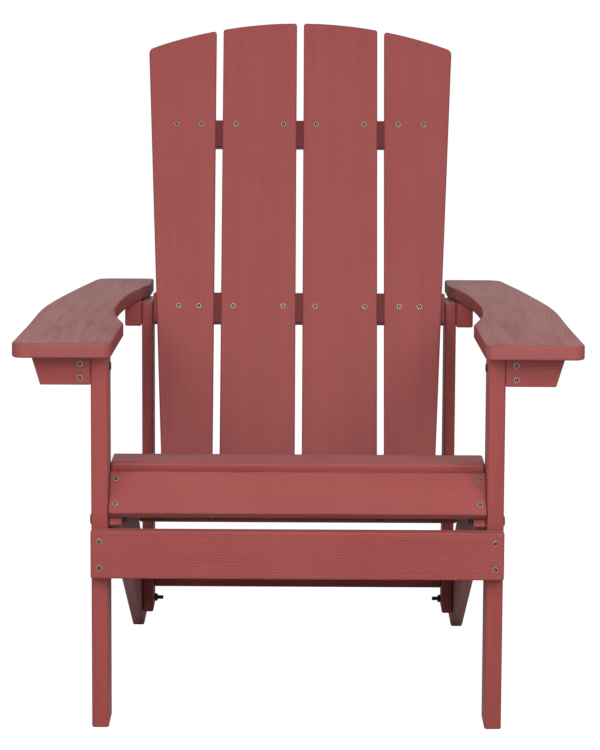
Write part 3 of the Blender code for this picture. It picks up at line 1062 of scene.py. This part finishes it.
@dataclass
class BoardShop:
    """Makes each finished board from the frame's own solid.

    The triangles that lie in one plane, up to the angle flat, become one face. Screws get a seat
    with a little clearance. The count of boards gives each board a pattern of its own.
    """

    screws: ScrewModel
    finish: BoardFinish = field(default_factory=BoardFinish)
    merge: float = 1e-6
    flat: float = 0.05
    soften: float = 50.0
    clearance: float = 0.0001
    sides: int = 24
    count: int = 0

    def board(
        self,
        node: str,
        grain: Vector,
        face: Vector,
        bores: Sequence[Bore] = (),
        finish: BoardFinish | None = None,
    ) -> None:
        """Makes one finished board that stands for its node.

        Args:
            node: the frame's node.
            grain: the direction of its grain.
            face: the direction that its wide face looks in.
            bores: the screws that are set in it.
            finish: its finish, where it isn't the shop's.
        """
        self.count += 1
        board = copy_of(bpy.data.objects[node], f"{node}_grained", Matrix.Identity(4))
        with editing(board):
            bpy.ops.mesh.select_all(action="SELECT")
            bpy.ops.mesh.remove_doubles(threshold=self.merge)
            bpy.ops.mesh.dissolve_limited(angle_limit=math.radians(self.flat))
        if bores:
            self._drill(board, bores)
        dress(board, (finish or self.finish).make(f"{node}_red", grain, face, self.count))
        smooth(board, self.soften)
        hand_over(board, Slot.BOARD, node)
        for bore in bores:
            self.screws.place(bore.name, bore.point, bore.outward, *bore.nodes)

    def _drill(self, board: bpy.types.Object, bores: Sequence[Bore]) -> None:
        """Sinks a seat for each screw's head.

        Args:
            board: the board.
            bores: the screws.
        """
        radius = self.screws.head_radius + self.clearance
        depth = self.screws.head_height + self.clearance
        for bore in bores:
            cutter = cylinder("seat_cutter", self.sides, radius, 2 * depth, depth)
            cutter.data.transform(turned_to(bore.point, bore.outward))
            cut_out(board, cutter)


@dataclass
class BackRest:
    """The four reclined slats, the two battens and the beam behind them.

    A row of screws has its name, its height and the places across of its screws, from the outer
    edge of the back inwards: two in the outer slat, then two in the inner one.
    """

    shop: BoardShop
    recline: float = 19.1
    plane_y: float = 0.05575
    plane_z: float = 0.22231
    rows: tuple[tuple[str, float, tuple[float, ...]], ...] = (
        ("upper", 0.7594, (0.1835, 0.1460, 0.0950, 0.0243)),
        ("lower", 0.4984, (0.1770, 0.1475, 0.0970, 0.0237)),
    )

    def build(self) -> None:
        """Makes the back's boards with their screws."""
        lean = math.radians(self.recline)
        grain = Vector((0, math.sin(lean), math.cos(lean)))
        face = Vector((0, -math.cos(lean), math.sin(lean)))
        for side, sign in SIDES.items():
            for place, columns in (("outer", slice(0, 2)), ("inner", slice(2, 4))):
                stem = f"back_screw_{side}_{place}"
                bores = [
                    Bore(self._on_face(sign * x, z), face, f"{stem}_{row}_{number}")
                    for row, z, across in self.rows
                    for number, x in enumerate(across[columns], 1)
                ]
                self.shop.board(f"back_slat_{place}_{side}", grain, face, bores)
        for node in ("upper_back_batten", "lower_back_batten", "arm_level_beam"):
            self.shop.board(node, ACROSS, face)

    def _on_face(self, x: float, z: float) -> Vector:
        """The point of the slats' front plane at a place across and a height."""
        lean = math.tan(math.radians(self.recline))
        return Vector((x, self.plane_y + lean * (z - self.plane_z), z))


@dataclass
class SeatDeck:
    """The five sloping slats, the nose slat and the slat that drops from it."""

    shop: BoardShop
    slope: float = 21.9
    front_lean: float = 34.9
    slats: int = 5
    screw_x: float = 0.2410
    screw_spacing: float = 0.036

    def build(self) -> None:
        """Makes the seat's boards with their screws."""
        tilt = math.radians(self.slope)
        above = Vector((0, math.sin(tilt), math.cos(tilt)))
        for number in range(1, self.slats + 1):
            node = f"seat_slat_{number}"
            self.shop.board(node, ACROSS, above, self._bores(node, above))
        self.shop.board("seat_nose_slat", ACROSS, UP)
        lean = math.radians(self.front_lean)
        face = Vector((0, -math.cos(lean), math.sin(lean)))
        self.shop.board("seat_front_slat", ACROSS, face, corner_bores("front_slat_screw", face))

    def _bores(self, node: str, above: Vector) -> list[Bore]:
        """The four screws of one slat.

        Args:
            node: the slat's node.
            above: the direction that its top faces.

        Returns:
            The screws.
        """
        low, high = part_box(node)
        middle = (low + high) / 2
        tilt = math.atan2(above.y, above.z)
        half_depth, half_height = (high.y - low.y) / 2, (high.z - low.z) / 2
        # Half the slat's thickness, from the upright box round the tilted slat.
        half_thick = (half_height - half_depth * math.tan(tilt)) / (
            math.cos(tilt) - math.sin(tilt) * math.tan(tilt)
        )
        top = Vector((0, middle.y, middle.z)) + above * half_thick
        downhill = Vector((0, math.cos(tilt), -math.sin(tilt))) * (self.screw_spacing / 2)
        return [
            Bore(
                ACROSS * (sign * self.screw_x) + top + downhill * step,
                above,
                f"{node}_screw_{side}_{end}",
            )
            for side, sign in SIDES.items()
            for end, step in (("front", -1), ("rear", 1))
        ]


@dataclass
class UnderFrame:
    """The legs, side rails, posts, apron and crossbar."""

    shop: BoardShop
    rail_slope: float = 24.1

    def build(self) -> None:
        """Makes the underframe's boards."""
        slope = math.radians(self.rail_slope)
        downhill = Vector((0, math.cos(slope), -math.sin(slope)))
        for side in SIDES:
            self.shop.board(f"front_leg_{side}", UP, ACROSS)
            self.shop.board(f"side_rail_{side}", downhill, ACROSS)
            self.shop.board(f"rear_post_{side}", UP, ACROSS)
        self.shop.board("front_apron", ACROSS, AHEAD, corner_bores("apron_screw", AHEAD))
        self.shop.board("rear_crossbar", ACROSS, AHEAD)


@dataclass
class ArmRests:
    """The two arms, with the brackets, cleats and rear blocks that carry them."""

    shop: BoardShop
    bracket_screw_x: float = 0.2865
    bracket_screw_z: tuple[float, float] = (0.4900, 0.4710)
    finish: BoardFinish = field(
        default_factory=lambda: BoardFinish(
            light=(0.280, 0.0690, 0.0660),
            dark=(0.176, 0.0440, 0.0420),
            wander=0.020,
            wander_width=0.050,
            ripple=0.0002,
            line_pitch=0.0044,
            fine_share=0.0,
            depth_share=3.0,
            edge_share=0.06,
            contrast=2.2,
            bump=0.9,
            bump_height=0.0009,
            specular=0.20,
            sheen=0.0,
        )
    )

    def build(self) -> None:
        """Makes the arms and what carries them."""
        for side, sign in SIDES.items():
            self.shop.board(f"arm_{side}", BACKWARD, UP, finish=self.finish)
            x = sign * self.bracket_screw_x
            face_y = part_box(f"arm_bracket_{side}")[0].y
            bores = [
                Bore(Vector((x, face_y, z)), AHEAD, f"bracket_screw_{side}_{number}")
                for number, z in enumerate(self.bracket_screw_z, 1)
            ]
            self.shop.board(f"arm_bracket_{side}", ACROSS, AHEAD, bores)
            self.shop.board(f"front_arm_cleat_{side}", BACKWARD, ACROSS)
            self.shop.board(f"rear_arm_block_{side}", BACKWARD, ACROSS)


# ------------------------------------------------------------------------------------- studio


@dataclass(frozen=True)
class Softbox:
    """One soft light, aimed at the middle of the chair."""

    name: str
    place: Point
    size: float
    watts: float
    aim: Point = (0.0, 0.0, 0.45)


@dataclass
class Studio:
    """The camera, the floor and the soft light."""

    eye: Point = (0.0054, -4.6696, 1.1232)
    pitch: float = 8.58
    roll: float = 0.285
    yaw: float = -0.041
    lens: float = 158.6
    floor_size: float = 80.0
    floor_colour: Colour = (0.55, 0.55, 0.55)
    floor_glow: float = 1.1
    floor_glow_share: float = 0.9
    surroundings: Colour = (1.0, 1.0, 1.0)
    ambient: float = 0.42
    boxes: tuple[Softbox, ...] = (
        Softbox("front_low", (0.0, -2.0, 1.1), size=1.0, watts=21.0),
        Softbox("front_left", (-1.6, -1.8, 2.2), size=1.0, watts=21.5),
        Softbox("front_right", (1.6, -1.8, 2.2), size=1.0, watts=22.5),
        Softbox("far_left", (-2.4, -3.2, 2.4), size=1.5, watts=19.0),
        Softbox("far_right", (2.4, -3.2, 2.4), size=1.5, watts=20.0),
        Softbox("above", (0.0, 0.2, 3.6), size=2.5, watts=4.0),
        Softbox("behind", (0.0, 3.4, 2.2), size=2.5, watts=24.0),
    )

    def build(self) -> None:
        """Sets up everything round the chair."""
        self._camera()
        self._floor()
        self._world()
        for box in self.boxes:
            self._softbox(box)
        view = bpy.context.scene.view_settings
        view.view_transform = "Standard"
        view.look = "None"

    def _camera(self) -> None:
        """Makes the camera."""
        pitch, roll, yaw = (math.radians(a) for a in (self.pitch, self.roll, self.yaw))
        ahead = Vector(
            (math.sin(yaw) * math.cos(pitch), math.cos(yaw) * math.cos(pitch), -math.sin(pitch))
        )
        right = Vector((math.cos(yaw), -math.sin(yaw), 0.0))
        above = right.cross(ahead)
        rolled = Matrix(
            (
                right * math.cos(roll) + above * math.sin(roll),
                above * math.cos(roll) - right * math.sin(roll),
                -ahead,
            )
        ).transposed()
        data = bpy.data.cameras.new("camera")
        data.lens = self.lens
        camera = bpy.data.objects.new("camera", data)
        camera.matrix_world = Matrix.Translation(Vector(self.eye)) @ rolled.to_4x4()
        bpy.context.scene.collection.objects.link(camera)
        bpy.context.scene.camera = camera

    def _floor(self) -> None:
        """Makes the pale floor."""
        bpy.ops.object.select_all(action="DESELECT")
        bpy.ops.mesh.primitive_plane_add(size=self.floor_size, location=ORIGIN)
        floor = bpy.context.object
        floor.name = "studio_floor"
        material, graph = new_graph("studio_floor")
        seen = graph.node("ShaderNodeLightPath", output="Is Camera Ray")
        matt = graph.node("ShaderNodeBsdfDiffuse", None, {"Color": opaque(self.floor_colour)})
        bright = graph.node("ShaderNodeEmission", None, {"Strength": self.floor_glow})
        share = seen * self.floor_glow_share
        surface = graph.node("ShaderNodeMixShader", None, {0: share, 1: matt, 2: bright})
        graph.node("ShaderNodeOutputMaterial", None, {"Surface": surface})
        floor.data.materials.append(material)

    def _world(self) -> None:
        """Makes the pale surroundings."""
        world = bpy.data.worlds.new("studio")
        world.use_nodes = True
        bpy.context.scene.world = world
        graph = Graph(world.node_tree)
        seen = graph.node("ShaderNodeLightPath", output="Is Camera Ray")
        strength = self.ambient + seen * (1.0 - self.ambient)
        colour = opaque(self.surroundings)
        background = graph.node(
            "ShaderNodeBackground", None, {"Color": colour, "Strength": strength}
        )
        graph.node("ShaderNodeOutputWorld", None, {"Surface": background})

    @staticmethod
    def _softbox(box: Softbox) -> None:
        """Makes one soft light."""
        data = bpy.data.lights.new(box.name, "AREA")
        data.size = box.size
        data.energy = box.watts
        lamp = bpy.data.objects.new(box.name, data)
        place = Vector(box.place)
        lamp.location = place
        lamp.rotation_euler = (place - Vector(box.aim)).to_track_quat("Z", "Y").to_euler()
        lamp.visible_camera = False
        bpy.context.scene.collection.objects.link(lamp)


def main() -> None:
    """Builds the chair's sub-assemblies in order."""
    logging.basicConfig(level=logging.INFO, format="%(message)s")
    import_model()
    Studio().build()
    fasteners = Fasteners()
    fasteners.build()
    shop = BoardShop(fasteners.screws)
    for assembly in (UnderFrame(shop), SeatDeck(shop), BackRest(shop), ArmRests(shop)):
        assembly.build()
        LOG.info("built %s", type(assembly).__name__)
    discard(fasteners.screws.model)


if __name__ == "__main__":
    main()
